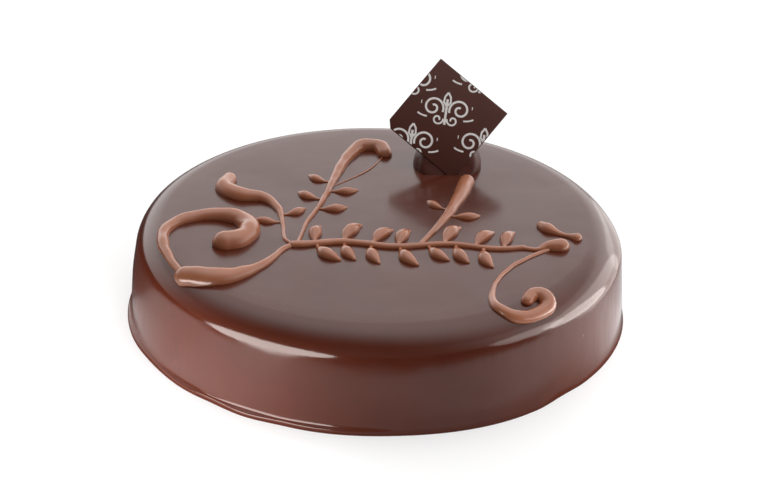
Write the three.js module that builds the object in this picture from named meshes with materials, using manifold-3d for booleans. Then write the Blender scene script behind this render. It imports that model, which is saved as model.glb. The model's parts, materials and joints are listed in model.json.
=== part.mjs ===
// A round, flat torte under poured dark chocolate glaze, with a leafy vine piped on top in milk
// chocolate and a thin square chocolate plaque that leans back on a dot of ganache.
// Millimetres, +Z up, origin at the middle of the cake's underside, front of the cake towards -Y.
import * as THREE from "three";
import { mergeVertices } from "three/addons/utils/BufferGeometryUtils.js";
import Module from "manifold-3d";

const wasm = await Module();
wasm.setup();

// ---- Driving dimensions ----
const CAKE_HEIGHT = 44;
const SIDE_RADIUS = 108.2; // just above the foot
const TOP_RADIUS = 106.2; // where the side turns into the shoulder
const SHOULDER = 12.4; // radius of the rounded top edge
const FLAT_RADIUS = TOP_RADIUS - SHOULDER;
const FOOT_RADIUS = 109.4; // where the glaze has run out on the board
const FOOT_HEIGHT = 6.5;
const CAKE_SEGMENTS = 96;
const SHOULDER_STEPS = 7;

const PLAQUE_SIDE = 40;
const PLAQUE_THICKNESS = 2;
const PLAQUE_CHIP = 3; // corner that has broken off
const PLAQUE_TIP = [34, 44.2]; // where the lowest corner enters the glaze
const PLAQUE_SUNK = 1.5;
const PLAQUE_LEAN = 33; // degrees back from upright
const PLAQUE_YAW = 1.5;
const PLAQUE_SPIN = 45 + 5.5; // it stands on a corner
const GAP = 0.3; // clearance between pieces that press into each other

const DOT_CENTRE = [31.9, 57.5];
const DOT_RADIUS = 15.8;
const DOT_HEIGHT = 13;
const DOT_SQUARE = 2.7; // exponent of its outline, 2 being round

const BEAD_RISE = 0.95; // height of a piped line over half its width
const BEAD_FACETS = 3; // in each quarter of its round
const BEAD_EASE = 5;
const STATION_STEP = 2.6; // along a piped line
const END_TURNS = [72, 36]; // degrees round a line's blunt end

const MATERIALS = {
  glaze: new THREE.MeshStandardMaterial({ color: 0x3c1c12, roughness: 0.2, metalness: 0 }),
  ganache: new THREE.MeshStandardMaterial({ color: 0x34170f, roughness: 0.3, metalness: 0 }),
  plaque: new THREE.MeshStandardMaterial({ color: 0x3b2019, roughness: 0.4, metalness: 0 }),
  piping: new THREE.MeshStandardMaterial({ color: 0x9a5f43, roughness: 0.35, metalness: 0 }),
};

const torte = new THREE.Group();

function addPiece(name, geometry, material, parent = torte) {
  const mesh = new THREE.Mesh(geometry, MATERIALS[material]);
  mesh.name = name;
  parent.add(mesh);
  return mesh;
}

// ---- Solids: closed meshes to manifold-3d and back ----
function solidOf(geometry) {
  const bare = new THREE.BufferGeometry();
  const loose = geometry.index ? geometry.toNonIndexed() : geometry;
  bare.setAttribute("position", loose.getAttribute("position").clone());
  const closed = mergeVertices(bare, 1e-4);
  return new wasm.Manifold(
    new wasm.Mesh({
      numProp: 3,
      vertProperties: new Float32Array(closed.attributes.position.array),
      triVerts: new Uint32Array(closed.index.array),
    }),
  );
}

function geometryOf(solid) {
  const mesh = solid.getMesh();
  const geometry = new THREE.BufferGeometry();
  geometry.setAttribute("position", new THREE.BufferAttribute(mesh.vertProperties, 3));
  geometry.setIndex(new THREE.BufferAttribute(mesh.triVerts, 1));
  geometry.computeVertexNormals();
  return geometry;
}

// A solid of revolution about +Z from [radius, height] points, from the bottom up.
function turned(profile, segments) {
  const geometry = new THREE.LatheGeometry(
    profile.map(([radius, height]) => new THREE.Vector2(radius, height)),
    segments,
  );
  return geometry.rotateX(Math.PI / 2);
}

// ---- The glazed cake ----
// Where the side stands out, and where the glaze has run out further, or less, round the foot:
// azimuth and width in degrees.
const SIDE_SWELLS = [
  { at: -2, width: 28, by: 1.6 },
  { at: 178, width: 30, by: 0.9 },
];
const FOOT_SWELLS = [
  { at: 178, width: 8, by: 0.55 },
  { at: -163, width: 11, by: 1.2 },
  { at: -138, width: 8, by: 0.9 },
  { at: -120, width: 5, by: 0.8 },
  { at: -103, width: 9, by: 0.7 },
  { at: -62, width: 12, by: 0.8 },
  { at: -43, width: 5, by: -0.7 },
  { at: 28, width: 16, by: 0.5 },
  { at: 95, width: 14, by: 0.4 },
  { at: 140, width: 10, by: 0.8 },
];
const SWELL_FADE = 0.6; // share of the shoulder's height in which a swelling side ends

function swellOf(swells, azimuth) {
  return swells.reduce((sum, { at, width, by }) => {
    const turn = THREE.MathUtils.euclideanModulo(azimuth - at + 180, 360) - 180;
    return sum + by * Math.exp(-((turn / width) ** 2));
  }, 0);
}

function cakeProfile() {
  const shoulder = Array.from({ length: SHOULDER_STEPS + 1 }, (_, i) => {
    const turn = (i / SHOULDER_STEPS) * (Math.PI / 2);
    return [
      FLAT_RADIUS + SHOULDER * Math.cos(turn),
      CAKE_HEIGHT - SHOULDER + SHOULDER * Math.sin(turn),
    ];
  });
  return [
    [0, 0],
    [FOOT_RADIUS, 0],
    [FOOT_RADIUS + 0.4, 0.25 * FOOT_HEIGHT],
    [FOOT_RADIUS - 0.2, 0.6 * FOOT_HEIGHT],
    [SIDE_RADIUS, FOOT_HEIGHT],
    ...shoulder,
    [0, CAKE_HEIGHT],
  ];
}

function cakeGeometry() {
  const geometry = turned(cakeProfile(), CAKE_SEGMENTS);
  const position = geometry.getAttribute("position");
  for (let i = 0; i < position.count; i++) {
    const [x, y, z] = [position.getX(i), position.getY(i), position.getZ(i)];
    const radius = Math.hypot(x, y);
    if (radius < FLAT_RADIUS) continue;
    const azimuth = THREE.MathUtils.radToDeg(Math.atan2(y, x));
    const up = (z - CAKE_HEIGHT + SHOULDER) / (SWELL_FADE * SHOULDER);
    const side = swellOf(SIDE_SWELLS, azimuth) * (1 - THREE.MathUtils.smoothstep(up, 0, 1));
    const foot = z < FOOT_HEIGHT ? swellOf(FOOT_SWELLS, azimuth) : 0;
    position.setXYZ(i, x * (1 + (side + foot) / radius), y * (1 + (side + foot) / radius), z);
  }
  return geometry;
}

// ---- The plaque and the dot of ganache it leans on ----
// The plaque lies in its own XY plane with its lowest corner at the origin, printed face up.
function plaqueOutline(grow) {
  const far = PLAQUE_SIDE + grow;
  const chip = PLAQUE_CHIP - grow * (2 - Math.SQRT2);
  return new THREE.Shape([
    new THREE.Vector2(-grow, -grow),
    new THREE.Vector2(far, -grow),
    new THREE.Vector2(far, far),
    new THREE.Vector2(chip - grow, far),
    new THREE.Vector2(-grow, far - chip),
  ]);
}

function plaqueGeometry(grow = 0) {
  const geometry = new THREE.ExtrudeGeometry(plaqueOutline(grow), {
    depth: PLAQUE_THICKNESS + 2 * grow,
    bevelEnabled: false,
  });
  return geometry.translate(0, 0, -PLAQUE_THICKNESS - grow);
}

function placePlaque(mesh) {
  const stand = new THREE.Group();
  stand.position.set(...PLAQUE_TIP, CAKE_HEIGHT - PLAQUE_SUNK);
  stand.rotation.set(
    THREE.MathUtils.degToRad(90 - PLAQUE_LEAN),
    0,
    THREE.MathUtils.degToRad(PLAQUE_YAW),
    "ZXY",
  );
  mesh.rotation.z = THREE.MathUtils.degToRad(PLAQUE_SPIN);
  stand.add(mesh);
  stand.updateMatrixWorld(true);
  return stand;
}

// The plane of the printed face, as a normal that points away from the dot and an offset.
function plaqueFace() {
  const stand = placePlaque(new THREE.Mesh());
  const normal = new THREE.Vector3(0, 0, 1).transformDirection(stand.matrixWorld);
  return { normal, offset: normal.dot(stand.position) };
}

// The room that the plaque takes in the glaze and in the ganache.
function plaqueRoom() {
  const room = new THREE.Mesh(plaqueGeometry(GAP));
  placePlaque(room);
  return solidOf(room.geometry.applyMatrix4(room.matrixWorld));
}

// A squarish dome, pressed flat in front to the lean of the plaque.
function dotSolid() {
  const rings = Array.from({ length: 6 }, (_, i) => {
    const turn = (i / 6) * (Math.PI / 2);
    return [DOT_RADIUS * Math.cos(turn) ** 0.8, DOT_HEIGHT * Math.sin(turn) ** 0.9];
  });
  const profile = [[0, 0], ...rings, [0, DOT_HEIGHT]];
  const geometry = turned(profile, 36);
  const position = geometry.getAttribute("position");
  for (let i = 0; i < position.count; i++) {
    const [x, y] = [position.getX(i), position.getY(i)];
    const radius = Math.hypot(x, y);
    if (radius < GAP) continue;
    const spread =
      (Math.abs(x / radius) ** DOT_SQUARE + Math.abs(y / radius) ** DOT_SQUARE) **
      (-1 / DOT_SQUARE);
    position.setXY(i, x * spread, y * spread);
  }
  const { normal, offset } = plaqueFace();
  const dome = solidOf(geometry.translate(...DOT_CENTRE, CAKE_HEIGHT));
  return dome.trimByPlane(normal.negate().toArray(), -offset);
}

// ---- Piping ----
// Height and outward normal of the glaze under a point of the plan. A line that runs on to the
// shoulder is eased clear of its facets, from a little before the edge of the flat and more
// where it is steep.
function glazeUnder(x, y) {
  const radius = Math.hypot(x, y);
  const out = Math.min(Math.max((radius - FLAT_RADIUS) / SHOULDER, 0), 1);
  const level = Math.sqrt(1 - out * out);
  const near = THREE.MathUtils.clamp((radius - FLAT_RADIUS) / BEAD_EASE + 1, 0, 1);
  const ease = GAP * near * (1 + 0.7 * out * out);
  const normal = new THREE.Vector3((out * x) / radius, (out * y) / radius, level);
  const point = new THREE.Vector3(x, y, CAKE_HEIGHT - SHOULDER * (1 - level));
  return { point: point.addScaledVector(normal, ease), normal };
}

// A smooth line through [x, y, half width].
function routeOf(path) {
  return new THREE.CatmullRomCurve3(path.map((station) => new THREE.Vector3(...station)));
}

// The stations of a line: plan position, direction and half width, with blunt round ends.
function stationsOf(path) {
  const route = routeOf(path);
  const points = route.getSpacedPoints(Math.ceil(route.getLength() / STATION_STEP));
  const stations = points.map((point, i) => {
    const before = points[Math.max(i - 1, 0)];
    const after = points[Math.min(i + 1, points.length - 1)];
    const along = new THREE.Vector2(after.x - before.x, after.y - before.y).normalize();
    return { x: point.x, y: point.y, half: point.z, along };
  });
  const blunt = (end, way) =>
    END_TURNS.map((degrees) => {
      const turn = THREE.MathUtils.degToRad(degrees);
      const reach = way * end.half * Math.sin(turn);
      return {
        x: end.x + reach * end.along.x,
        y: end.y + reach * end.along.y,
        half: end.half * Math.cos(turn),
        along: end.along,
      };
    });
  return [...blunt(stations[0], -1), ...stations, ...blunt(stations.at(-1), 1).reverse()];
}

// A piped line: a half-round bead bent along its stations and laid on the glaze.
function pipedLine(path) {
  const stations = stationsOf(path);
  const steps = stations.length - 1;
  const section = new THREE.Shape().absarc(0, 0, 1, 0, Math.PI, false);
  section.lineTo(0, 0.03);
  const geometry = new THREE.ExtrudeGeometry(section, {
    depth: 1,
    steps,
    curveSegments: BEAD_FACETS,
    bevelEnabled: false,
  });
  const position = geometry.getAttribute("position");
  for (let i = 0; i < position.count; i++) {
    const { x, y, half, along } = stations[Math.round(position.getZ(i) * steps)];
    const across = position.getX(i) * half;
    const { point, normal } = glazeUnder(x - along.y * across, y + along.x * across);
    point.addScaledVector(normal, position.getY(i) * half * BEAD_RISE);
    position.setXYZ(i, point.x, point.y, point.z);
  }
  return geometry;
}

// The long strokes, each a list of [x, y, half width] from its root.
const STROKES = {
  piped_sweep: [
    [-39.8, -31.2, 1.3],
    [-45, -41.8, 1.7],
    [-52, -51.2, 2.6],
    [-61, -58.4, 4.1],
    [-70, -60.8, 5.1],
    [-79.2, -57.9, 4.8],
  ],
  piped_volute: [
    [-84.4, -49, 1.6],
    [-88.8, -38.5, 2.1],
    [-92.2, -26.5, 2.7],
    [-91.8, -16, 2.8],
    [-87.2, -8.2, 2.9],
    [-79, -3.2, 3.3],
    [-70, -1.8, 3.8],
    [-61.6, -4.2, 4.3],
    [-55.8, -11.2, 4.6],
    [-56.2, -20, 4.8],
    [-60.4, -26.2, 5.2],
    [-65.2, -27.8, 5.4],
  ],
  piped_plume_left: [
    [-39.8, -22, 0.9],
    [-41.4, -8, 1.0],
    [-44.2, 7, 1.8],
    [-51, 16.8, 2.9],
    [-62, 18.8, 4.1],
    [-69.4, 26.5, 4.1],
    [-67.6, 35.5, 3.4],
  ],
  piped_plume_back: [
    [-33.2, -20.6, 0.9],
    [-31, -6, 1.0],
    [-26.6, 9, 1.1],
    [-22.6, 26, 1.5],
    [-19.5, 42, 2.1],
    [-14.5, 62, 2.9],
    [-7.5, 74, 3.7],
    [0.5, 73, 3.9],
    [2.8, 66.6, 3.5],
  ],
  piped_plume_right: [
    [20.6, -20.6, 1.2],
    [27.6, -5, 1.8],
    [33.2, 11, 2.5],
    [37.6, 26, 3.3],
    [40.2, 37.6, 3.7],
  ],
  piped_tendril: [
    [67.5, -32.5, 0.9],
    [57.2, -43.6, 1.0],
    [50.4, -57, 1.1],
    [47.9, -69.5, 1.5],
    [49.5, -79.5, 2.1],
    [54.6, -83.2, 2.6],
    [61.2, -81.8, 2.9],
    [67.8, -77, 3.3],
    [71, -71.8, 3.6],
    [68.6, -68.4, 3.5],
    [64.6, -69, 3.2],
    [62.4, -73.2, 2.8],
  ],
  piped_twig: [
    [72, -5.2, 2.2],
    [75, -8.6, 2.7],
    [79.3, -12.2, 1.4],
    [83.4, -14.4, 1.3],
    [86.6, -16.2, 2.4],
  ],
  piped_tip: [
    [69, -27.4, 1.2],
    [73.6, -25.3, 2.6],
    [79.2, -24.8, 3.7],
  ],
};

// The vine's stem waves a little and thins towards its tip.
const STEM = { from: -36, to: 63, level: -26, swing: 1.7, wave: 44, thick: 1.9, thin: 1.3 };
const STEM_POINTS = 24;

function stemPath() {
  return Array.from({ length: STEM_POINTS }, (_, i) => {
    const part = i / (STEM_POINTS - 1);
    const x = THREE.MathUtils.lerp(STEM.from, STEM.to, part);
    const y = STEM.level - STEM.swing * Math.cos((2 * Math.PI * (x - STEM.from)) / STEM.wave);
    return [x, y, THREE.MathUtils.lerp(STEM.thick, STEM.thin, part)];
  });
}

// A leaf from its root: [along its branch, out from it, half width].
const LEAF = [
  [0, 0, 0.9],
  [0.7, 3.4, 2.2],
  [1.9, 6.8, 3],
  [3.8, 9.8, 2.3],
  [5.8, 12.2, 0.9],
];
const LEAF_UNEVEN = { size: 0.06, turn: 4 }; // freehand: share and degrees

// Rows of leaves along one side of a branch, each row at even steps of the branch's length.
const LEAF_ROWS = [
  { on: "piped_stem", side: 1, from: 0.1, to: 0.46, count: 4, size: 1 },
  { on: "piped_stem", side: 1, from: 0.66, to: 0.92, count: 3, size: 1 },
  { on: "piped_stem", side: -1, from: 0.1, to: 0.83, count: 7, size: 1 },
  { on: "piped_plume_left", side: 1, from: 0.22, to: 0.22, count: 1, size: 0.75 },
  { on: "piped_plume_left", side: -1, from: 0.32, to: 0.32, count: 1, size: 0.7 },
  { on: "piped_plume_back", side: 1, from: 0.34, to: 0.5, count: 2, size: 0.75 },
  { on: "piped_plume_back", side: -1, from: 0.26, to: 0.42, count: 2, size: 0.75 },
  { on: "piped_plume_right", side: 1, from: 0.52, to: 0.52, count: 1, size: 0.75 },
  { on: "piped_plume_right", side: -1, from: 0.43, to: 0.43, count: 1, size: 0.75 },
];

function leafPath(route, place, side, size, seed) {
  const at = route.getPointAt(place);
  const tangent = route.getTangentAt(place);
  const along = new THREE.Vector2(tangent.x, tangent.y).normalize();
  const out = new THREE.Vector2(-along.y, along.x).multiplyScalar(side);
  const turn = THREE.MathUtils.degToRad(LEAF_UNEVEN.turn * Math.sin(2.3 * seed));
  const scale = size * (1 + LEAF_UNEVEN.size * Math.sin(4.1 * seed));
  const clear = at.z + LEAF[0][2] * scale + 2.5 * GAP;
  return LEAF.map(([forth, up, half]) => {
    const point = new THREE.Vector2(forth, up).multiplyScalar(scale);
    point.rotateAround(new THREE.Vector2(), turn);
    const x = at.x + along.x * point.x + out.x * (point.y + clear);
    const y = at.y + along.y * point.x + out.y * (point.y + clear);
    return [x, y, half * scale];
  });
}

function leaves(branches) {
  const grown = [];
  for (const { on, side, from, to, count, size } of LEAF_ROWS) {
    const route = routeOf(branches[on]);
    for (let i = 0; i < count; i++) {
      const place = THREE.MathUtils.lerp(from, to, count > 1 ? i / (count - 1) : 0);
      const seed = grown.length + 1;
      grown.push([`piped_leaf_${seed}`, leafPath(route, place, side, size, seed)]);
    }
  }
  return grown;
}

// ---- Assembly ----
const room = plaqueRoom();
addPiece("glazed_cake", geometryOf(solidOf(cakeGeometry()).subtract(room)), "glaze");
addPiece("ganache_dot", geometryOf(dotSolid().subtract(room)), "ganache");
torte.add(placePlaque(addPiece("chocolate_plaque", plaqueGeometry(), "plaque")));
const branches = { piped_stem: stemPath(), ...STROKES };
for (const [name, path] of [...Object.entries(branches), ...leaves(branches)]) {
  addPiece(name, pipedLine(path), "piping");
}

export default torte;
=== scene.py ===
import bpy
import json
import math
from mathutils import Matrix, Vector, noise

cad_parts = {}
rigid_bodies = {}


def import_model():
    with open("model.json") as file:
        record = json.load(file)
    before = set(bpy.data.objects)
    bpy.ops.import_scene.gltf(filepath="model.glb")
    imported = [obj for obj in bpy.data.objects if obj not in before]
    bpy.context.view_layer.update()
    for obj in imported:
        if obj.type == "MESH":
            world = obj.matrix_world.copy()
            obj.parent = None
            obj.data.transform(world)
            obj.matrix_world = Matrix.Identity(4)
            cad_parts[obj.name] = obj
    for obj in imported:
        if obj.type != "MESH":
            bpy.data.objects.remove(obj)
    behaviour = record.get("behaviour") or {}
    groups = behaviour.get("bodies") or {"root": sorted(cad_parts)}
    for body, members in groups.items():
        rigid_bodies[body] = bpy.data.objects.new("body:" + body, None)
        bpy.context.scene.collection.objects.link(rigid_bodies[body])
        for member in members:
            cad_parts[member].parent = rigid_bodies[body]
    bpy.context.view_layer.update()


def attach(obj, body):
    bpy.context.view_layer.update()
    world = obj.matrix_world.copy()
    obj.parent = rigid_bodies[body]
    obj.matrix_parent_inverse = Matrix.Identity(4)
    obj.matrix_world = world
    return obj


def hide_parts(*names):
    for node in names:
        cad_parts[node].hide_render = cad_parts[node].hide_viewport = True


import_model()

MM = 0.001

# ---------------------------------------------------------------- measures, in mm and degrees
CAKE_HEIGHT = 44
SIDE_RADIUS = 108.2
TOP_RADIUS = 106.2
SHOULDER = 12.4
FLAT_RADIUS = TOP_RADIUS - SHOULDER
FOOT_RADIUS = 109.0
FOOT_HEIGHT = 4
SIDE_SLANT = 4.1

# How many steps the rings take round the cake, up its side, over its shoulder and to its middle.
ROUND_STEPS = 256
SIDE_STEPS = 11
SHOULDER_STEPS = 17
TOP_STEPS = 12

# The glaze sags a little everywhere: how wide and how deep.
SAG_WIDTH = 50
SAG_DEPTH = 0.35

# Where the side stands out, or in: azimuth and width in degrees, how far, and the two heights
# between which that fades. Then where the glaze has run out further round the foot: azimuth and
# width in degrees, how far. Each ring of the foot follows by its own share, so that the pooled
# glaze has a lip: height, share.
SIDE_SWELLS = [(-2, 28, 1.9, 32, 41), (178, 30, 1.1, 19, 36), (-60, 13, 1.7, 1, 21),
               (-86, 12, 0.6, 1, 12), (-43, 4, -0.9, 1, 9), (28, 16, 0.4, 1, 12)]
FOOT_SWELLS = [(178, 8, 0.6), (-163, 11, 1.2), (-138, 8, 1.2), (-120, 5, 1.5), (-103, 9, 0.9),
               (95, 14, 0.5), (140, 10, 1.0)]
FOOT_RINGS = [(0, 0.9), (0.5, 1), (1.1, 1), (1.6, 1), (1.95, 0.9), (2.2, 0.6), (2.45, 0.25),
              (2.8, 0.06)]
# How far a swell reaches in all, in its own widths. The points of a ring are those that are
# this near its height and at least this far out.
SWELL_REACH = 2.1
RING_SLACK = 0.02
RING_INNERMOST = 80
# What lies lower than this after the sagging is the underside, and is flattened.
UNDERSIDE_BELOW = 0.2

PLAQUE_SIDE = 40
PLAQUE_THICKNESS = 2
PLAQUE_CHIP = 3
PLAQUE_EDGE = 0.28
PLAQUE_TIP = (34, 44.2)
PLAQUE_SUNK = 1.5
PLAQUE_LEAN = 33
PLAQUE_YAW = 1.5
PLAQUE_SPIN = 45 + 5.5

DOT_CENTRE = (31.9, 57.5)
DOT_RADIUS = 15.8
DOT_HEIGHT = 13
DOT_SUNK = 1
# The dot starts as a cube: cuts across each face, how far it is rounded, how much wider it
# starts than it ends, and how far behind the plaque's front it is pressed flat. Then how fine
# its mesh is and how often it is smoothed, and how wide and how deep its lumps are.
DOT_CUTS = 15
DOT_ROUNDING = 0.93
DOT_START = 1.01
DOT_PRESSED = 0.4
DOT_VOXEL = 0.6
DOT_SMOOTHING = 24
LUMP_WIDTH = 9
LUMP_DEPTH = 0.9

# Piping: how far apart the points of a line are, how high its middle lies above the glaze as a
# share of its half width, how deep it may sink, and the steps of its round ends in degrees.
PIPING_SPACING = 0.9
PIPING_LIFT = 0.1
PIPING_SUNK = 0.7
PIPING_SIDES = 6
ROUND_END = (12, 25, 38, 51, 64, 76, 86)
# The finer spacing at which a line is first worked out, and along which leaves find their place.
FINE_SPACING = 0.3
# The hand's unevenness: turns for each mm, share of the width, sway to the side. Each line has
# a lane of its own in the noise, and so do the two ways of the sway.
UNEVEN_TURNS = 0.16
UNEVEN_WIDTH = 0.1
UNEVEN_SWAY = 0.24
LINE_LANE = 3.7
SWAY_LANES = Vector((0, 50, 0)), Vector((0, 90, 0))

STEM = {"from": -36, "to": 63, "level": -26, "swing": 1.7, "wave": 44, "thick": 1.9,
        "thin": 1.3, "points": 24}

# Each stroke is a list of (x, y, half width) from its root.
STROKES = {
    "piped_sweep": [
        (-39.8, -31.2, 1.3), (-45, -41.8, 1.7), (-52, -51.2, 2.6), (-61, -58.4, 4.1),
        (-70, -60.8, 5.1), (-79.2, -57.9, 4.8)],
    "piped_volute": [
        (-84.4, -49, 1.6), (-88.8, -38.5, 2.1), (-92.2, -26.5, 2.7), (-91.8, -16, 2.8),
        (-87.2, -8.2, 2.9), (-79, -3.2, 3.3), (-70, -1.8, 3.8), (-61.6, -4.2, 4.3),
        (-55.8, -11.2, 4.6), (-56.2, -20, 4.8), (-60.4, -26.2, 5.2), (-65.2, -27.8, 5.4)],
    "piped_plume_left": [
        (-39.8, -22, 0.9), (-41.4, -8, 1.0), (-44.2, 7, 1.8), (-51, 16.8, 2.9),
        (-62, 18.8, 4.1), (-69.4, 26.5, 4.1), (-67.6, 35.5, 3.4)],
    "piped_plume_back": [
        (-33.2, -20.6, 0.9), (-31, -6, 1.0), (-26.6, 9, 1.1), (-22.6, 26, 1.5), (-19.5, 42, 2.1),
        (-14.5, 62, 2.9), (-7.5, 74, 3.7), (0.5, 73, 3.9), (2.8, 66.6, 3.5)],
    "piped_plume_right": [
        (20.6, -20.6, 1.2), (27.6, -5, 1.8), (33.2, 11, 2.5), (37.6, 26, 3.3),
        (40.2, 37.6, 3.7)],
    "piped_tendril": [
        (67.5, -32.5, 0.9), (57.2, -43.6, 1.0), (50.4, -57, 1.1), (47.9, -69.5, 1.5),
        (49.5, -79.5, 2.1), (54.6, -83.2, 2.6), (61.2, -81.8, 2.9), (67.8, -77, 3.3),
        (71, -71.8, 3.6), (68.6, -68.4, 3.5), (64.6, -69, 3.2), (62.4, -73.2, 2.8)],
    "piped_twig": [
        (72, -5.2, 2.2), (75, -8.6, 2.7), (79.3, -12.2, 1.4), (83.4, -14.4, 1.3),
        (86.6, -16.2, 2.4)],
    "piped_tip": [
        (69, -27.4, 1.2), (73.6, -25.3, 2.6), (79.2, -24.8, 3.7)],
}

# Where a stroke's thin root runs on into the piece that it springs from.
ROOTS = {
    "piped_sweep": (-36.2, -27.4, 1.2), "piped_volute": (-81.5, -54, 1.6),
    "piped_plume_left": (-36.2, -27.2, 0.9), "piped_plume_back": (-34.4, -26.8, 0.9),
    "piped_plume_right": (18.4, -25.4, 1.2), "piped_tendril": (73.5, -27.5, 0.9),
    "piped_tip": (62.5, -26.4, 1.2),
}

# A leaf from its root: along its branch, out from it, half width. Each leaf has its own small
# turn and size: the most that they change, and the step from leaf to leaf.
LEAF = [(0, 0, 0.9), (0.7, 3.4, 2.2), (1.9, 6.8, 3), (3.8, 9.8, 2.3), (5.8, 12.2, 0.9)]
LEAF_CLEAR = 0.75
LEAF_TURN, LEAF_TURN_STEP = 4, 2.3
LEAF_GROWTH, LEAF_GROWTH_STEP = 0.06, 4.1

# Rows of leaves: branch, side, first and last place along it, how many, size.
LEAF_ROWS = [
    ("piped_stem", 1, 0.1, 0.46, 4, 1), ("piped_stem", 1, 0.66, 0.92, 3, 1),
    ("piped_stem", -1, 0.1, 0.83, 7, 1),
    ("piped_plume_left", 1, 0.22, 0.22, 1, 0.75), ("piped_plume_left", -1, 0.32, 0.32, 1, 0.7),
    ("piped_plume_back", 1, 0.34, 0.5, 2, 0.75), ("piped_plume_back", -1, 0.26, 0.42, 2, 0.75),
    ("piped_plume_right", 1, 0.52, 0.52, 1, 0.75),
    ("piped_plume_right", -1, 0.43, 0.43, 1, 0.75),
]

# A stray thread of chocolate beside the back plume.
THREAD = [(-21.5, 30, 0.22), (-14, 38, 0.3), (-6, 47, 0.35), (-1, 56, 0.3), (1.5, 63, 0.25)]
THREAD_SPACING = 1.2
THREAD_LIFT = 0.5
THREAD_SIDES = 2

# The print on the plaque: its middle, its turn, where the motif is repeated, how flat its lines
# are pressed, and the bare margin round it.
PRINT_CENTRE = (23.5, 23.0)
PRINT_TURN = -PLAQUE_SPIN - 8
PRINT_REPEATS = [(0, 0), (-14, -16.5), (-19, 12), (19, -14), (14, 17)]
PRINT_FLATNESS = 0.1
PRINT_MARGIN = 0.35
PRINT_SIDES = 2

# The two shades that each finish goes between.
GLAZE_SHADES = (0.064, 0.0126, 0.0054), (0.084, 0.0163, 0.0072)
GANACHE_SHADES = (0.064, 0.0105, 0.0044), (0.082, 0.0140, 0.0058)
PLAQUE_SHADES = (0.072, 0.0158, 0.0088), (0.083, 0.0182, 0.0100)
PRINT_SHADES = (0.80, 0.75, 0.72), (0.93, 0.91, 0.89)
PIPING_SHADES = (0.306, 0.106, 0.051), (0.360, 0.128, 0.063)

# Heights between which the glaze turns duller towards the top, and between which the streaks
# and drips of the side end.
DULLER = (41, 43.6)
STREAKS_END = (33, 40)


# ---------------------------------------------------------------- working by hand
def put_down_everything():
    if bpy.context.object and bpy.context.object.mode != "OBJECT":
        bpy.ops.object.mode_set(mode="OBJECT")
    bpy.ops.object.select_all(action="DESELECT")


def take_up(piece):
    put_down_everything()
    piece.select_set(True)
    bpy.context.view_layer.objects.active = piece


def new_piece(name):
    piece = bpy.context.active_object
    piece.name = piece.data.name = name
    return piece


def work_on_all():
    """Goes into edit mode with the whole piece selected."""
    bpy.ops.object.mode_set(mode="EDIT")
    bpy.ops.mesh.select_all(action="SELECT")


def pick(piece, wanted):
    """Selects the points of the piece that the test wants, and goes into edit mode."""
    if piece.mode != "OBJECT":
        bpy.ops.object.mode_set(mode="OBJECT")
    mesh = piece.data
    for part in (mesh.edges, mesh.polygons):
        part.foreach_set("select", [False] * len(part))
    mesh.vertices.foreach_set("select", [wanted(v.co) for v in mesh.vertices])
    bpy.ops.object.mode_set(mode="EDIT")
    bpy.ops.mesh.select_mode(type="VERT")


def resize(x, y, z):
    bpy.ops.transform.resize(value=(x, y, z), center_override=(0, 0, 0))


def cut_off(place, outwards):
    """What lies outwards of a flat cut is taken off, and the cut is closed."""
    bpy.ops.mesh.select_all(action="SELECT")
    bpy.ops.mesh.bisect(plane_co=place, plane_no=outwards, use_fill=True, clear_outer=True)


def cut_below(height):
    """What lies below a height is taken off, and the cut is closed."""
    bpy.ops.mesh.select_all(action="SELECT")
    bpy.ops.mesh.bisect(plane_co=(0, 0, height * MM), plane_no=(0, 0, 1), use_fill=True,
                        clear_inner=True)


def turn_faces_out():
    bpy.ops.mesh.select_all(action="SELECT")
    bpy.ops.mesh.normals_make_consistent(inside=False)


def set_in_place(piece, place):
    bpy.ops.object.mode_set(mode="OBJECT")
    piece.matrix_world = place
    take_up(piece)
    bpy.ops.object.transform_apply(location=True, rotation=True, scale=True)


def use_modifier(piece, kind, **settings):
    take_up(piece)
    modifier = piece.modifiers.new(kind.title(), kind)
    for key, value in settings.items():
        setattr(modifier, key, value)
    bpy.ops.object.modifier_apply(modifier=modifier.name)


def unevenness(piece, name, width, depth):
    """Soft lumps and hollows all over a piece."""
    clouds = bpy.data.textures.new(name, "CLOUDS")
    clouds.noise_scale = width * MM
    use_modifier(piece, "DISPLACE", texture=clouds, strength=depth * MM, mid_level=0.5,
                 texture_coords="LOCAL")


def smooth(piece, angle=None):
    take_up(piece)
    if angle is None:
        bpy.ops.object.shade_smooth()
    else:
        bpy.ops.object.shade_smooth_by_angle(angle=math.radians(angle))


def draw_line(name, line, thick, sides, twist):
    """A round line through (x, y, z, share of its thickness)."""
    put_down_everything()
    bpy.ops.curve.primitive_nurbs_path_add(location=(0, 0, 0))
    piece = new_piece(name)
    curve = piece.data
    curve.splines.clear()
    spline = curve.splines.new("POLY")
    spline.points.add(len(line) - 1)
    for point, (x, y, z, share) in zip(spline.points, line):
        point.co = (x * MM, y * MM, z * MM, 1)
        point.radius = share
    curve.dimensions = "3D"
    curve.twist_mode = twist
    curve.bevel_depth = thick * MM
    curve.bevel_resolution = sides
    curve.use_fill_caps = True
    take_up(piece)
    bpy.ops.object.convert(target="MESH")
    return piece


def hand_over(piece, finish, slot_name, *nodes):
    """The finished piece gets its finish and stands for its nodes."""
    piece.data.materials.clear()
    piece.data.materials.append(finish)
    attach(piece, "root")
    if nodes:
        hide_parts(*nodes)
    put_down_everything()


# ---------------------------------------------------------------- nodes that finishes share
def feed(tree, value, way_in):
    """Sets an input to a number, or joins it to what another node gives."""
    if isinstance(value, bpy.types.NodeSocket):
        tree.links.new(value, way_in)
    else:
        way_in.default_value = value


def feed_all(tree, node, values):
    for label, value in values.items():
        feed(tree, value, node.inputs[label])


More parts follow.
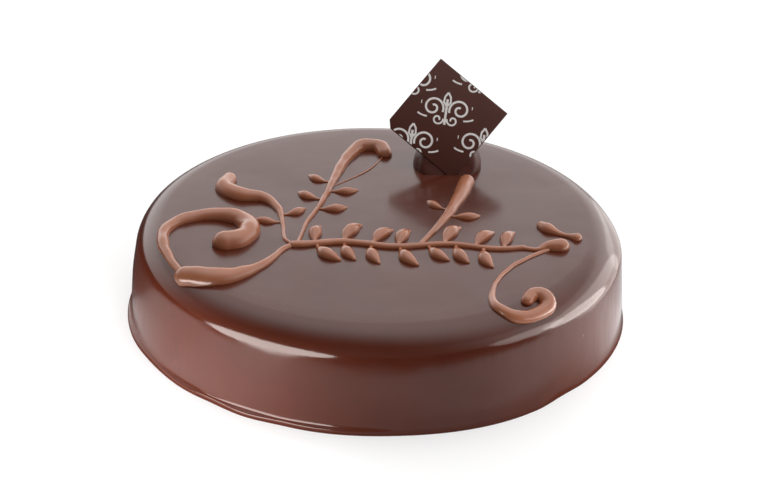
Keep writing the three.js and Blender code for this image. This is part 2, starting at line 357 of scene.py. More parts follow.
def add_node(tree, kind, **values):
    node = tree.nodes.new(kind)
    feed_all(tree, node, values)
    return node


def ramp(tree, value, first, last, low=0, high=1, kind="LINEAR"):
    """Goes from low to high while the value goes from first to last."""
    node = tree.nodes.new("ShaderNodeMapRange")
    node.interpolation_type = kind
    feed_all(tree, node, {"Value": value, "From Min": first, "From Max": last, "To Min": low,
                          "To Max": high})
    return node.outputs["Result"]


def soft_ramp(tree, value, first, last, low=0, high=1):
    return ramp(tree, value, first, last, low, high, "SMOOTHSTEP")


def reckon(tree, operation, first, second):
    node = tree.nodes.new("ShaderNodeMath")
    node.operation = operation
    feed(tree, first, node.inputs[0])
    feed(tree, second, node.inputs[1])
    return node.outputs[0]


def facing(tree, heading, towards):
    """How nearly a heading points towards another: 1 is straight at it."""
    node = tree.nodes.new("ShaderNodeVectorMath")
    node.operation = "DOT_PRODUCT"
    feed(tree, heading, node.inputs[0])
    feed(tree, towards, node.inputs[1])
    return node.outputs["Value"]


def curve_through(tree, value, places):
    """A smooth curve through places, read at the value."""
    node = tree.nodes.new("ShaderNodeFloatCurve")
    points = node.mapping.curves[0].points
    points[0].location, points[1].location = places[0], places[-1]
    for place in places[1:-1]:
        points.new(*place)
    node.mapping.update()
    feed(tree, value, node.inputs["Value"])
    return node.outputs["Value"]


def new_group(name, **numbers):
    """A group that takes a vector and some numbers, and gives a mask."""
    group = bpy.data.node_groups.new(name, "ShaderNodeTree")
    group.interface.new_socket(name="Vector", in_out="INPUT", socket_type="NodeSocketVector")
    for label, number in numbers.items():
        socket = group.interface.new_socket(name=label, in_out="INPUT",
                                            socket_type="NodeSocketFloat")
        socket.default_value = number
    group.interface.new_socket(name="Mask", in_out="OUTPUT", socket_type="NodeSocketFloat")
    given = group.nodes.new("NodeGroupInput").outputs
    mask = group.nodes.new("NodeGroupOutput").inputs["Mask"]
    return group, given, mask


def mottle_group():
    """Soft uneven patches in chocolate: a mask from 0 to 1."""
    group, given, mask = new_group("chocolate_mottle", Size=30.0, Softness=0.3)
    patches = add_node(group, "ShaderNodeTexNoise", Vector=given["Vector"], Scale=given["Size"],
                       Detail=3.0, Roughness=0.5)
    low = reckon(group, "SUBTRACT", 0.5, given["Softness"])
    high = reckon(group, "ADD", 0.5, given["Softness"])
    feed(group, soft_ramp(group, patches.outputs["Fac"], low, high), mask)
    return group


def speck_group():
    """A few small round spots, such as burst bubbles or drips: a mask from 0 to 1."""
    group, given, mask = new_group("fine_specks", Spacing=90.0, Radius=0.1, Share=0.2)
    cells = add_node(group, "ShaderNodeTexVoronoi", Vector=given["Vector"],
                     Scale=given["Spacing"])
    inside = soft_ramp(group, cells.outputs["Distance"], 0, given["Radius"], 1, 0)
    parts = add_node(group, "ShaderNodeSeparateColor", Color=cells.outputs["Color"])
    chosen = reckon(group, "LESS_THAN", parts.outputs["Red"], given["Share"])
    feed(group, reckon(group, "MULTIPLY", inside, chosen), mask)
    return group


MOTTLE = mottle_group()
SPECKS = speck_group()


def new_finish(name):
    finish = bpy.data.materials.new(name)
    finish.use_nodes = True
    tree = finish.node_tree
    return finish, tree, tree.nodes["Principled BSDF"]


def on_piece(tree):
    """The place on the piece, for a pattern to follow."""
    return tree.nodes.new("ShaderNodeTexCoord").outputs["Object"]


def place_group(tree, group, where, **values):
    node = tree.nodes.new("ShaderNodeGroup")
    node.node_tree = group
    feed_all(tree, node, {"Vector": where, **values})
    return node.outputs["Mask"]


def between(tree, mask, first, second):
    """A colour that goes from the first to the second with the mask."""
    mix = tree.nodes.new("ShaderNodeMix")
    mix.data_type = "RGBA"
    feed_all(tree, mix, {"Factor": mask, "A": (*first, 1), "B": (*second, 1)})
    return mix.outputs["Result"]


def relief(tree, height, strength, distance, after=None):
    bump = add_node(tree, "ShaderNodeBump", Height=height, Strength=strength,
                    Distance=distance)
    if after:
        feed(tree, after, bump.inputs["Normal"])
    return bump.outputs["Normal"]


# ---------------------------------------------------------------- finishes
def glaze_finish():
    finish, tree, shader = new_finish("poured_dark_glaze")
    where = on_piece(tree)
    broad = place_group(tree, MOTTLE, where, Size=22.0, Softness=0.28)
    fine = place_group(tree, MOTTLE, where, Size=140.0, Softness=0.3)
    pricks = place_group(tree, SPECKS, where, Spacing=70.0, Radius=0.06, Share=0.12)
    # Down the side the glaze has run in faint upright streaks, with a few small drips.
    upright = add_node(tree, "ShaderNodeMapping", Vector=where,
                       Scale=(1, 1, 0.25)).outputs["Vector"]
    streaks = place_group(tree, MOTTLE, upright, Size=70.0, Softness=0.32)
    drips = place_group(tree, SPECKS, upright, Spacing=48.0, Radius=0.07, Share=0.16)
    patches = add_node(tree, "ShaderNodeMix", Factor=0.45, A=broad, B=streaks)
    # The top has set a little duller than the side.
    height = add_node(tree, "ShaderNodeSeparateXYZ", Vector=where).outputs["Z"]
    duller = ramp(tree, height, DULLER[0] * MM, DULLER[1] * MM, 0, 0.05)
    swell = relief(tree, broad, 0.25, 0.0004)
    side = ramp(tree, height, STREAKS_END[0] * MM, STREAKS_END[1] * MM, 1, 0)
    for marks, strength in ((streaks, 0.3), (drips, 0.8)):
        swell = relief(tree, reckon(tree, "MULTIPLY", marks, side), strength, 0.0005, swell)
    feed_all(tree, shader, {
        "Base Color": between(tree, patches.outputs["Result"], *GLAZE_SHADES),
        "Roughness": reckon(tree, "ADD", ramp(tree, fine, 0, 1, 0.115, 0.15), duller),
        "IOR": 1.5,
        "Normal": relief(tree, pricks, 0.5, 0.0003, swell)})
    return finish


def ganache_finish():
    finish, tree, shader = new_finish("dark_ganache")
    where = on_piece(tree)
    broad = place_group(tree, MOTTLE, where, Size=90.0, Softness=0.3)
    fine = place_group(tree, MOTTLE, where, Size=420.0, Softness=0.3)
    feed_all(tree, shader, {
        "Base Color": between(tree, broad, *GANACHE_SHADES),
        "Roughness": ramp(tree, fine, 0, 1, 0.38, 0.46),
        "IOR": 1.42,
        "Normal": relief(tree, fine, 0.12, 0.0004)})
    return finish


def plaque_finish():
    finish, tree, shader = new_finish("thin_dark_chocolate")
    where = on_piece(tree)
    broad = place_group(tree, MOTTLE, where, Size=70.0, Softness=0.3)
    fine = place_group(tree, MOTTLE, where, Size=900.0, Softness=0.35)
    feed_all(tree, shader, {
        "Base Color": between(tree, broad, *PLAQUE_SHADES),
        "Roughness": ramp(tree, fine, 0, 1, 0.34, 0.42),
        "IOR": 1.45,
        "Normal": relief(tree, fine, 0.2, 0.00006)})
    return finish


def print_finish():
    finish, tree, shader = new_finish("white_cocoa_butter_print")
    thin_spots = place_group(tree, MOTTLE, on_piece(tree), Size=700.0, Softness=0.3)
    feed_all(tree, shader, {
        "Base Color": between(tree, thin_spots, *PRINT_SHADES),
        "Roughness": ramp(tree, thin_spots, 0, 1, 0.5, 0.4)})
    return finish


def piping_finish():
    finish, tree, shader = new_finish("piped_milk_chocolate")
    where = on_piece(tree)
    broad = place_group(tree, MOTTLE, where, Size=75.0, Softness=0.3)
    fine = place_group(tree, MOTTLE, where, Size=260.0, Softness=0.3)
    feed_all(tree, shader, {
        "Base Color": between(tree, broad, *PIPING_SHADES),
        "Roughness": ramp(tree, fine, 0, 1, 0.17, 0.23),
        "IOR": 1.58,
        "Normal": relief(tree, fine, 0.08, 0.0003)})
    return finish


GLAZE = glaze_finish()
GANACHE = ganache_finish()
PLAQUE = plaque_finish()
PRINT = print_finish()
PIPING = piping_finish()


# ---------------------------------------------------------------- the glazed cake
def raise_ring(radius, height, was):
    """The top face is drawn up to a height and drawn in or out to a radius."""
    bpy.ops.mesh.extrude_region_move(
        TRANSFORM_OT_translate={"value": (0, 0, (height - was[1]) * MM)})
    resize(radius / was[0], radius / was[0], 1)
    return radius, height


def cake_rings():
    """Radius and height of the rings of the foot, the side, the shoulder and the flat top."""
    foot = [(FOOT_RADIUS + (SIDE_RADIUS - FOOT_RADIUS) * height / FOOT_HEIGHT, height)
            for height, _ in FOOT_RINGS]
    shoulder = []
    for i in range(SHOULDER_STEPS + 1):
        turn = math.radians(SIDE_SLANT + (90 - SIDE_SLANT) * i / SHOULDER_STEPS)
        shoulder.append((FLAT_RADIUS + SHOULDER * math.cos(turn),
                         CAKE_HEIGHT - SHOULDER * (1 - math.sin(turn))))
    radius, height = shoulder[0]
    side = []
    for i in range(SIDE_STEPS):
        part = i / SIDE_STEPS
        side.append((SIDE_RADIUS + (radius - SIDE_RADIUS) * part,
                     FOOT_HEIGHT + (height - FOOT_HEIGHT) * part))
    top = [(FLAT_RADIUS * (1 - i / TOP_STEPS), CAKE_HEIGHT) for i in range(1, TOP_STEPS)]
    return foot + side + shoulder, top


def model_cake():
    outside, top = cake_rings()
    ring = outside[0]
    put_down_everything()
    bpy.ops.mesh.primitive_circle_add(vertices=ROUND_STEPS, radius=ring[0] * MM,
                                      fill_type="NGON", location=(0, 0, 0))
    cake = new_piece("glazed_torte")
    work_on_all()
    for radius, height in outside[1:] + top:
        ring = raise_ring(radius, height, ring)
    bpy.ops.mesh.merge(type="CENTER")
    turn_faces_out()
    shape_side(cake, outside)
    shape_foot(cake)
    bpy.ops.object.mode_set(mode="OBJECT")
    unevenness(cake, "glaze_sag", SAG_WIDTH, SAG_DEPTH)
    flatten_underside(cake)
    smooth(cake)
    hand_over(cake, GLAZE, "glaze", "glazed_cake")


def flatten_underside(cake):
    pick(cake, lambda p: p.z < UNDERSIDE_BELOW * MM)
    resize(1, 1, 0)
    bpy.ops.object.mode_set(mode="OBJECT")


def draw_out(cake, height, azimuth, width, by):
    """The ring at a height is drawn out round an azimuth, and nothing else moves."""
    turn = math.radians(azimuth)
    out = Vector((math.cos(turn), math.sin(turn)))
    half_step = math.pi / ROUND_STEPS + 1e-4

    def in_ring(p):
        return abs(p.z / MM - height) < RING_SLACK and p.to_2d().length > RING_INNERMOST * MM

    pick(cake, lambda p: not in_ring(p))
    bpy.ops.mesh.hide(unselected=False)
    pick(cake, lambda p: in_ring(p) and p.to_2d().normalized().dot(out) > math.cos(half_step))
    bpy.ops.transform.translate(
        value=(*(out * by * MM), 0), use_proportional_edit=True,
        proportional_edit_falloff="SMOOTH",
        proportional_size=SWELL_REACH * math.radians(width) * FOOT_RADIUS * MM)
    bpy.ops.mesh.reveal(select=False)


def shape_side(cake, rings):
    """The side stands out here and there, ring by ring, and less so towards the top."""
    for azimuth, width, by, fade_from, fade_to in SIDE_SWELLS:
        for _, height in rings:
            up = max(0, (height - fade_from) / (fade_to - fade_from))
            if up < 1:
                draw_out(cake, height, azimuth, width, by * (1 - up * up * (3 - 2 * up)))


def shape_foot(cake):
    """The foot is drawn out ring by ring where glaze has pooled."""
    for height, share in FOOT_RINGS:
        for azimuth, width, by in FOOT_SWELLS:
            draw_out(cake, height, azimuth, width, by * share)


# ---------------------------------------------------------------- piping
def glaze_height(x, y):
    out = min(max((math.hypot(x, y) - FLAT_RADIUS) / SHOULDER, 0), 1)
    return CAKE_HEIGHT - SHOULDER * (1 - math.sqrt(1 - out * out))


def through(path, spacing=PIPING_SPACING):
    """Evenly spaced points of a smooth line through (x, y, half width)."""
    points = [Vector(p) for p in path]
    points = [2 * points[0] - points[1], *points, 2 * points[-1] - points[-2]]
    line = []
    for a, b, c, d in zip(points, points[1:], points[2:], points[3:]):
        t1 = (b - a).length ** 0.5
        t2 = t1 + (c - b).length ** 0.5
        t3 = t2 + (d - c).length ** 0.5
        steps = max(4, int((c - b).length / FINE_SPACING))
        for i in range(steps):
            t = t1 + (t2 - t1) * i / steps
            ab = a * ((t1 - t) / t1) + b * (t / t1)
            bc = b * ((t2 - t) / (t2 - t1)) + c * ((t - t1) / (t2 - t1))
            cd = c * ((t3 - t) / (t3 - t2)) + d * ((t - t2) / (t3 - t2))
            abc = ab * ((t2 - t) / t2) + bc * (t / t2)
            bcd = bc * ((t3 - t) / (t3 - t1)) + cd * ((t - t1) / (t3 - t1))
            line.append(abc * ((t2 - t) / (t2 - t1)) + bcd * ((t - t1) / (t2 - t1)))
    line.append(points[-2])
    even, walked = [line[0]], 0.0
    for before, after in zip(line, line[1:]):
        walked += (after - before).length
        if walked >= spacing:
            even.append(after)
            walked = 0.0
    if walked > spacing / 3:
        even.append(line[-1])
    return even


def round_off(line):
    """Blunt round ends for a line of (x, y, half width)."""
    def end(tip, inner):
        way = (tip.xy - inner.xy).normalized()
        cap = []
        for degrees in ROUND_END:
            turn = math.radians(degrees)
            reach = tip.z * math.sin(turn)
            cap.append(Vector((*(tip.xy + way * reach), tip.z * math.cos(turn))))
        return cap
    return [*reversed(end(line[0], line[1])), *line, *end(line[-1], line[-2])]


def lay_line(name, line, lift, sides):
    """A round line of chocolate along (x, y, half width), laid on the glaze."""
    laid = [(x, y, glaze_height(x, y) + lift * half, half) for x, y, half in line]
    return draw_line(name, laid, 1, sides, "Z_UP")


def trim_under(piece, line):
    """What is sunk in the glaze is cut away, and the cut is closed."""
    pick(piece, lambda p: True)
    bpy.ops.mesh.remove_doubles(threshold=1e-6)
    cut_below(min(glaze_height(x, y) for x, y, _ in line) - PIPING_SUNK)
    turn_faces_out()
    bpy.ops.object.mode_set(mode="OBJECT")


def uneven(line, seed):
    """The hand's small unevenness along a line."""
    walked, changed = 0.0, []
    for i, p in enumerate(line):
        if i:
            walked += (p.xy - line[i - 1].xy).length
        at = Vector((walked * UNEVEN_TURNS, seed * LINE_LANE, 0))
        swell = 1 + UNEVEN_WIDTH * noise.noise(at)
        side = Vector([noise.noise(at + lane) for lane in SWAY_LANES])
        changed.append(Vector((*(p.xy + side * UNEVEN_SWAY), p.z * swell)))
    return changed


def pipe(name, path, seed):
    line = round_off(uneven(through(path), seed))
    piece = lay_line(name, line, PIPING_LIFT, PIPING_SIDES)
    trim_under(piece, line)
    smooth(piece, angle=60)
    return piece


def stem_path():
    path = []
    for i in range(STEM["points"]):
        part = i / (STEM["points"] - 1)
        x = STEM["from"] + (STEM["to"] - STEM["from"]) * part
        turn = 2 * math.pi * (x - STEM["from"]) / STEM["wave"]
        y = STEM["level"] - STEM["swing"] * math.cos(turn)
        path.append((x, y, STEM["thick"] + (STEM["thin"] - STEM["thick"]) * part))
    return path


def at_place(line, place):
    """The point and the direction at a share of a line's length."""
    steps = [(b - a).length for a, b in zip(line, line[1:])]
    left = place * sum(steps)
    for step, a, b in zip(steps, line, line[1:]):
        if left <= step:
            return a.lerp(b, left / step), (b - a).xy.normalized()
        left -= step
    return line[-1], (line[-1] - line[-2]).xy.normalized()


def leaf_path(line, place, side, size, seed):
    at, along = at_place(line, place)
    out = Vector((-along.y, along.x)) * side
    turn = Matrix.Rotation(math.radians(LEAF_TURN * math.sin(LEAF_TURN_STEP * seed)), 2)
    scale = size * (1 + LEAF_GROWTH * math.sin(LEAF_GROWTH_STEP * seed))
    root = LEAF[0][2] * scale
    clear = at.z + root + LEAF_CLEAR
    path = [(at.x, at.y, root)]
    for forth, up, half in LEAF:
        point = turn @ (Vector((forth, up)) * scale)
        place_on = at.xy + along * point.x + out * (point.y + clear)
        path.append((*place_on, half * scale))
    return path


def leaves(branches):
    grown = {}
    for branch, side, first, last, count, size in LEAF_ROWS:
        line = through(branches[branch], FINE_SPACING)
        for i in range(count):
            place = first + (last - first) * i / max(count - 1, 1)
            seed = len(grown) + 1
            grown[f"piped_leaf_{seed}"] = leaf_path(line, place, side, size, seed)
    return grown


def model_piping():
    branches = {"piped_stem": stem_path(), **STROKES}
    lines = {**branches, **leaves(branches)}
    for node, root in ROOTS.items():
        lines[node] = [root, *lines[node]]
    for seed, (node, path) in enumerate(lines.items()):
        piece = pipe(node.replace("piped_", "chocolate_"), path, seed)
        hand_over(piece, PIPING, "piping", node)


def model_thread():
    line = round_off(through(THREAD, THREAD_SPACING))
    thread = lay_line("stray_thread_1", line, THREAD_LIFT, THREAD_SIDES)
    smooth(thread, angle=60)
    hand_over(thread, PIPING, "piping")


# ---------------------------------------------------------------- the dot of ganache
def model_dot():
    """A soft lump, squarish from above, pressed flat in front by the plaque."""
    put_down_everything()
    bpy.ops.mesh.primitive_cube_add(size=2, location=(0, 0, 0))
    dot = new_piece("ganache_dot_soft")
    work_on_all()
    bpy.ops.mesh.subdivide(number_cuts=DOT_CUTS)
    bpy.ops.transform.tosphere(value=DOT_ROUNDING)
    bpy.ops.object.mode_set(mode="OBJECT")
    reach = max(v.co.x for v in dot.data.vertices)
    work_on_all()
    wide = DOT_START * DOT_RADIUS / reach * MM
    resize(wide, wide, DOT_HEIGHT / reach * MM)
    bpy.ops.transform.translate(
        value=(DOT_CENTRE[0] * MM, DOT_CENTRE[1] * MM, CAKE_HEIGHT * MM))
    cut_below(CAKE_HEIGHT - DOT_SUNK)
    press = plaque_place()
    cut_off(press @ Vector((0, 0, -DOT_PRESSED * MM)), press.to_3x3() @ Vector((0, 0, 1)))
    turn_faces_out()
    bpy.ops.object.mode_set(mode="OBJECT")
    use_modifier(dot, "REMESH", mode="VOXEL", voxel_size=DOT_VOXEL * MM)
    use_modifier(dot, "SMOOTH", factor=0.5, iterations=DOT_SMOOTHING)
    unevenness(dot, "ganache_lumps", LUMP_WIDTH, LUMP_DEPTH)
    smooth(dot)
    hand_over(dot, GANACHE, "ganache", "ganache_dot")


# ---------------------------------------------------------------- the plaque and its print
def plaque_place():
    """From the plaque's own plane, lowest corner at the origin, to its place on the cake."""
    tip = Vector((PLAQUE_TIP[0], PLAQUE_TIP[1], CAKE_HEIGHT - PLAQUE_SUNK)) * MM
    return (Matrix.Translation(tip)
            @ Matrix.Rotation(math.radians(PLAQUE_YAW), 4, "Z")
            @ Matrix.Rotation(math.radians(90 - PLAQUE_LEAN), 4, "X")
            @ Matrix.Rotation(math.radians(PLAQUE_SPIN), 4, "Z"))


def model_plaque():
    put_down_everything()
    half = PLAQUE_SIDE / 2
    bpy.ops.mesh.primitive_cube_add(size=1, location=(0, 0, 0))
    plaque = new_piece("chocolate_plaque_thin")
    work_on_all()
    resize(PLAQUE_SIDE * MM, PLAQUE_SIDE * MM, PLAQUE_THICKNESS * MM)
    bpy.ops.transform.translate(value=(half * MM, half * MM, -PLAQUE_THICKNESS / 2 * MM))
    cut_off((PLAQUE_CHIP * MM, PLAQUE_SIDE * MM, 0), (-1, 1, 0))
    bpy.ops.mesh.select_all(action="SELECT")
    bpy.ops.mesh.bevel(offset=PLAQUE_EDGE * MM, segments=3, affect="EDGES")
    set_in_place(plaque, plaque_place())
    smooth(plaque, angle=35)
    hand_over(plaque, PLAQUE, "plaque", "chocolate_plaque")


def spiral(centre, start, end, from_angle, turns, flip, count=30):
    """Points of a curl that closes from one radius to another."""
    line = []
    for i in range(count + 1):
        part = i / count
        radius = start + (end - start) * part
        angle = math.radians(from_angle + 360 * turns * part)
        line.append((centre[0] + flip * radius * math.cos(angle),
                     centre[1] + radius * math.sin(angle)))
    return line


def sprig_lines():
    """One printed motif, about 24 mm wide, as lists of (x, y) with a line width each."""
    lines = []
    for flip in (-1, 1):
        # A large scroll, a small one below it, and a tail that runs outwards.
        lines.append((0.5, spiral((6.2 * flip, 0), 5.0, 1.0, 200, -1.35, flip)))
        lines.append((0.42, spiral((3.4 * flip, -5.2), 2.6, 0.7, 170, 1.1, flip)))
        lines.append((0.4, [(flip * (8.5 + 0.9 * i), -4.6 + 0.05 * i * i) for i in range(6)]))
    # The stalk, the bud on it, and a dot on either side.
    lines.append((0.55, [(0, -7.5), (0, -3.5), (0, 0.5), (0, 4.5)]))
    for side in (-1, 1):
        lines.append((0.45, [(0, 1.0), (1.6 * side, 3.2), (1.3 * side, 5.6), (0, 7.6)]))
    for x in (-11.8, 11.8):
        lines.append((0.75, [(x - 0.2, 1.8), (x + 0.2, 1.8)]))
    return lines


def model_print():
    """White lines that lie on the plaque's front, cut off short of its edges."""
    ribbons = []
    for across, up in PRINT_REPEATS:
        for width, line in sprig_lines():
            shifted = [(x + across, y + up, 0, 1) for x, y in line]
            ribbons.append(draw_line("print_line", shifted, width, PRINT_SIDES, "MINIMUM"))
    put_down_everything()
    for ribbon in ribbons:
        ribbon.select_set(True)
    bpy.context.view_layer.objects.active = ribbons[0]
    bpy.ops.object.join()
    sheet = new_piece("plaque_print")
    work_on_all()
    resize(1, 1, PRINT_FLATNESS)
    bpy.ops.transform.rotate(value=-math.radians(PRINT_TURN), orient_axis="Z",
                             center_override=(0, 0, 0))
    bpy.ops.transform.translate(value=(PRINT_CENTRE[0] * MM, PRINT_CENTRE[1] * MM, 0))
    near, far = PRINT_MARGIN, PLAQUE_SIDE - PRINT_MARGIN
    for (x, y), (across, up) in (((near, 0), (-1, 0)), ((far, 0), (1, 0)), ((0, near), (0, -1)),
                                 ((0, far), (0, 1)), ((PLAQUE_CHIP + near, far), (-1, 1))):
        cut_off((x * MM, y * MM, 0), (across, up, 0))
    set_in_place(sheet, plaque_place())
    smooth(sheet, angle=40)
    hand_over(sheet, PRINT, "plaque")


# ---------------------------------------------------------------- studio
# The floor: its width in m, its grey and how much it glows by itself.
FLOOR_WIDTH = 14
FLOOR_GREY = 0.55
FLOOR_GLOWS = 0.48

# The room: its tint, how bright it is, which way it is brightest, how much light is left away
# from there, and how nearly a place must face that way to have more, and to have it all. Then
# how its brightness goes with height, from level (0) to overhead (1).
ROOM_TINT = (1, 0.99, 0.985, 1)
ROOM_LIGHT = 2.0
BRIGHT_SIDE = (0.5, 1.0, 0.35)
LEFT_IN_DARK = 0.08
DARK_UNTIL, BRIGHT_FROM = -0.7, 0.75
ROOM_HEIGHTS = [(0, 0.86), (0.38, 0.90), (0.44, 0.80), (0.50, 0.57), (0.62, 0.62),
                (0.85, 0.86), (1, 0.98)]

# The low light panels round the cake, which only show in the gloss: name, the two ends in mm,
# lowest and highest edge in mm, brightness.
WARM = (1.0, 0.94, 0.9)
LIGHT_PANELS = [
    ("low_panel_left", (-135, -73), (-75, -217), 1, 42, 10),
    ("low_panel_front_right", (110, -144), (158, -70), 18, 50, 2.5),
    ("low_panel_right", (150, -94), (162, 4), 11, 45, 4.6),
    ("low_panel_right_wide", (148, -98), (160, 60), 4, 62, 1.8),
    ("low_panel_right_back", (162, 36), (138, 128), 2, 64, 0.9),
]

# The cards that stand close by, light the cake's side and the floor, and don't show in the
# gloss: from and to which azimuth, brightness.
CARD_RADIUS = 168
CARD_LOW, CARD_HIGH = 2, 13
BOUNCE_CARDS = [(175, 205, 13), (205, 235, 28), (235, 262, 17), (-58, -40, 3.5),
                (-40, -12, 14), (-12, 20, 17)]

# A soft light for the piping alone, in m and W.
PIPING_FILL = {"place": (0.42, -0.36, 0.17), "aim": (0, 0, 0.05), "width": 0.3, "height": 0.2,
               "power": 0.4}

# What the gloss shows of the floor, as a painted reflection on a glowing sheet: azimuth and
# brightness.
SHEET_WIDTH = 6
SHEET_LIFT = 0.3
BRIGHTEST = 2.5
FLOOR_GLOW = [(-180, 0.35), (-170, 0.8), (-153, 1.1), (-131, 1.65), (-120, 1.4), (-111, 1.0),
              (-100, 0.85), (-90, 0.8), (-66, 0.85), (-36, 1.25), (-12, 1.42), (4, 1.0),
              (15, 0.8), (90, 0.6), (165, 0.05), (180, 0.35)]
# Where this painted reflection is darker, as painted shade: all round the foot, from and to which
# distance in mm and how much at each. Then close by in front on the right, far off in front, and
# far
# off on the left: also towards which azimuth, and how nearly a place must face it for the shade to
# start and to be full.
FOOT_SHADE = (111, 114.5, 0.9, 0)
FLOOR_SHADES = [
    ((110, 155, 0.6, 0), -62, 0.62, 0.97),
    ((169, 181, 0, 0.96), -91, 0.42, 0.57),
    ((210, 250, 0, 0.85), 180, 0.3, 0.75),
]

# The eye stands in front and looks down on the cake: how far off in m, how steeply in degrees,
# and how far it then turns about its own axes. Then the lens and the image's width, in dots.
EYE_DISTANCE = 0.9903
EYE_ELEVATION = 28.88
EYE_TURNS = [("up", -0.05), ("right", 1.71), ("ahead", -1.14)]
LENS_DOTS, IMAGE_DOTS = 2200, 758
SENSOR = 36


def lay_floor():
    put_down_everything()
    bpy.ops.mesh.primitive_plane_add(size=FLOOR_WIDTH, location=(0, 0, 0))
    floor = new_piece("studio_floor")
    paper, tree, shader = new_finish("white_paper_floor")
    feed_all(tree, shader, {
        "Base Color": (FLOOR_GREY, FLOOR_GREY, FLOOR_GREY, 1), "Emission Color": (1, 1, 1, 1),
        "Emission Strength": FLOOR_GLOWS, "Roughness": 0.9, "Specular IOR Level": 0.1})
    floor.data.materials.append(paper)
    return paper


def light_room():
    """The room is bright behind and to the right, and dark in front and to the left."""
    world = bpy.data.worlds.new("studio_walls")
    bpy.context.scene.world = world
    world.use_nodes = True
    tree = world.node_tree
    heading = tree.nodes.new("ShaderNodeTexCoord").outputs["Generated"]
    side = soft_ramp(tree, facing(tree, heading, BRIGHT_SIDE), DARK_UNTIL, BRIGHT_FROM,
                     LEFT_IN_DARK, 1)
    parts = add_node(tree, "ShaderNodeSeparateXYZ", Vector=heading)
    height = curve_through(tree, parts.outputs["Z"], ROOM_HEIGHTS)
    light = reckon(tree, "MULTIPLY", reckon(tree, "MULTIPLY", side, height), ROOM_LIGHT)
    feed_all(tree, tree.nodes["Background"], {"Color": ROOM_TINT, "Strength": light})


def new_light(name, place, aim, width, height, power):
    bpy.ops.object.light_add(type="AREA", location=place)
    lamp = bpy.context.active_object
    lamp.name = lamp.data.name = name
    lamp.data.shape = "ELLIPSE"
    lamp.data.size, lamp.data.size_y = width, height
    lamp.data.energy = power
    lamp.rotation_euler = (Vector(aim) - Vector(place)).to_track_quat("-Z", "Y").to_euler()
    lamp.visible_camera = False
    return lamp


def stand_panel(name, start, end, low, high, glow):
    """An oval panel that stands upright, faces the middle, and is as bright as its glow."""
    start, end = Vector(start) * MM, Vector(end) * MM
    middle = (start + end) / 2
    width, height = (end - start).length, (high - low) * MM
    place = Vector((*middle, (low + high) / 2 * MM))
    area = math.pi / 4 * width * height
    return new_light(name, place, (0, 0, place.z), width, height, glow * math.pi * area)


def light_only(lamp, *finishes):
    """A light that falls only on the pieces of some finishes."""
    lit = bpy.data.collections.new(f"{lamp.name}_falls_on")
    for piece in bpy.data.objects:
        if piece.type == "MESH" and any(m in finishes for m in piece.data.materials):
            lit.objects.link(piece)
    lamp.light_linking.receiver_collection = lit


def stand_lights(paper):
    for panel in LIGHT_PANELS:
        lamp = stand_panel(*panel)
        lamp.visible_diffuse = False
        lamp.data.color = WARM
    for first, last, glow in BOUNCE_CARDS:
        start, end = [(CARD_RADIUS * math.cos(math.radians(turn)),
                       CARD_RADIUS * math.sin(math.radians(turn))) for turn in (first, last)]
        card = stand_panel(f"bounce_card_{last}", start, end, CARD_LOW, CARD_HIGH, glow)
        card.visible_glossy = False
        light_only(card, GLAZE, paper)
    fill = new_light("piping_fill", **PIPING_FILL)
    fill.visible_glossy = False
    light_only(fill, PIPING)


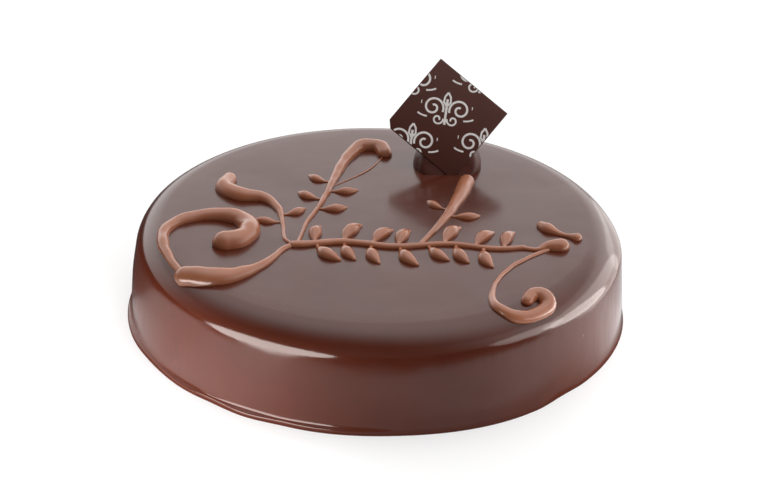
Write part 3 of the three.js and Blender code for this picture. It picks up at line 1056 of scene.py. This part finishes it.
def lay_sheet():
    """A thin glowing sheet over the floor that only shows in the gloss: the floor's painted
    reflection, with painted shade.
    """
    put_down_everything()
    bpy.ops.mesh.primitive_plane_add(size=SHEET_WIDTH, location=(0, 0, SHEET_LIFT * MM))
    sheet = new_piece("floor_reflection")
    paper, tree, shader = new_finish("floor_in_the_gloss")
    where = on_piece(tree)
    length = tree.nodes.new("ShaderNodeVectorMath")
    length.operation = "LENGTH"
    norm = tree.nodes.new("ShaderNodeVectorMath")
    norm.operation = "NORMALIZE"
    for node in (length, norm):
        feed(tree, where, node.inputs[0])
    away, heading = length.outputs["Value"], norm.outputs["Vector"]

    def shade_from(nearest, furthest, at_nearest, at_furthest):
        return soft_ramp(tree, away, nearest * MM, furthest * MM, at_nearest, at_furthest)

    # Painted shade round the foot and on parts of the floor, as the gloss shows it.
    dark = shade_from(*FOOT_SHADE)
    for distances, azimuth, starts, full in FLOOR_SHADES:
        turn = math.radians(azimuth)
        faces = facing(tree, heading, (math.cos(turn), math.sin(turn), 0))
        shade = reckon(tree, "MULTIPLY", shade_from(*distances),
                       soft_ramp(tree, faces, starts, full))
        dark = reckon(tree, "MAXIMUM", dark, shade)
    parts = add_node(tree, "ShaderNodeSeparateXYZ", Vector=where)
    azimuth = reckon(tree, "ARCTAN2", parts.outputs["Y"], parts.outputs["X"])
    glow = curve_through(tree, ramp(tree, azimuth, -math.pi, math.pi),
                         [((turn + 180) / 360, bright / BRIGHTEST) for turn, bright in FLOOR_GLOW])
    light = reckon(tree, "MULTIPLY", glow, reckon(tree, "SUBTRACT", 1, dark))
    # The sheet glows with a painted reflection of the floor, darkened by the painted shade.
    feed_all(tree, shader, {
        "Base Color": (0, 0, 0, 1), "Roughness": 1.0, "Specular IOR Level": 0.0,
        "Emission Color": light, "Emission Strength": BRIGHTEST})
    sheet.data.materials.append(paper)
    sheet.visible_camera = False
    sheet.visible_diffuse = False
    sheet.visible_shadow = False


def set_camera():
    elevation = math.radians(EYE_ELEVATION)
    place = Vector((0, -EYE_DISTANCE * math.cos(elevation), EYE_DISTANCE * math.sin(elevation)))
    ahead = -place.normalized()
    right = Vector((1, 0, 0))
    axes = {"up": right.cross(ahead), "right": right, "ahead": ahead}
    for name, degrees in EYE_TURNS:
        turn = Matrix.Rotation(math.radians(degrees), 3, axes[name])
        axes = {key: turn @ axis for key, axis in axes.items()}
    bpy.ops.object.camera_add(location=place)
    camera = bpy.context.active_object
    camera.name = "studio_camera"
    turned = Matrix((axes["right"], axes["up"], -axes["ahead"])).transposed()
    camera.rotation_euler = turned.to_euler()
    camera.data.sensor_width = SENSOR
    camera.data.lens = LENS_DOTS * SENSOR / IMAGE_DOTS
    camera.data.dof.use_dof = False
    camera.data.clip_start, camera.data.clip_end = 0.01, 50
    bpy.context.scene.camera = camera


model_cake()
model_dot()
model_plaque()
model_print()
model_piping()
model_thread()
floor_paper = lay_floor()
light_room()
stand_lights(floor_paper)
lay_sheet()
set_camera()
bpy.context.scene.view_settings.view_transform = "Standard"
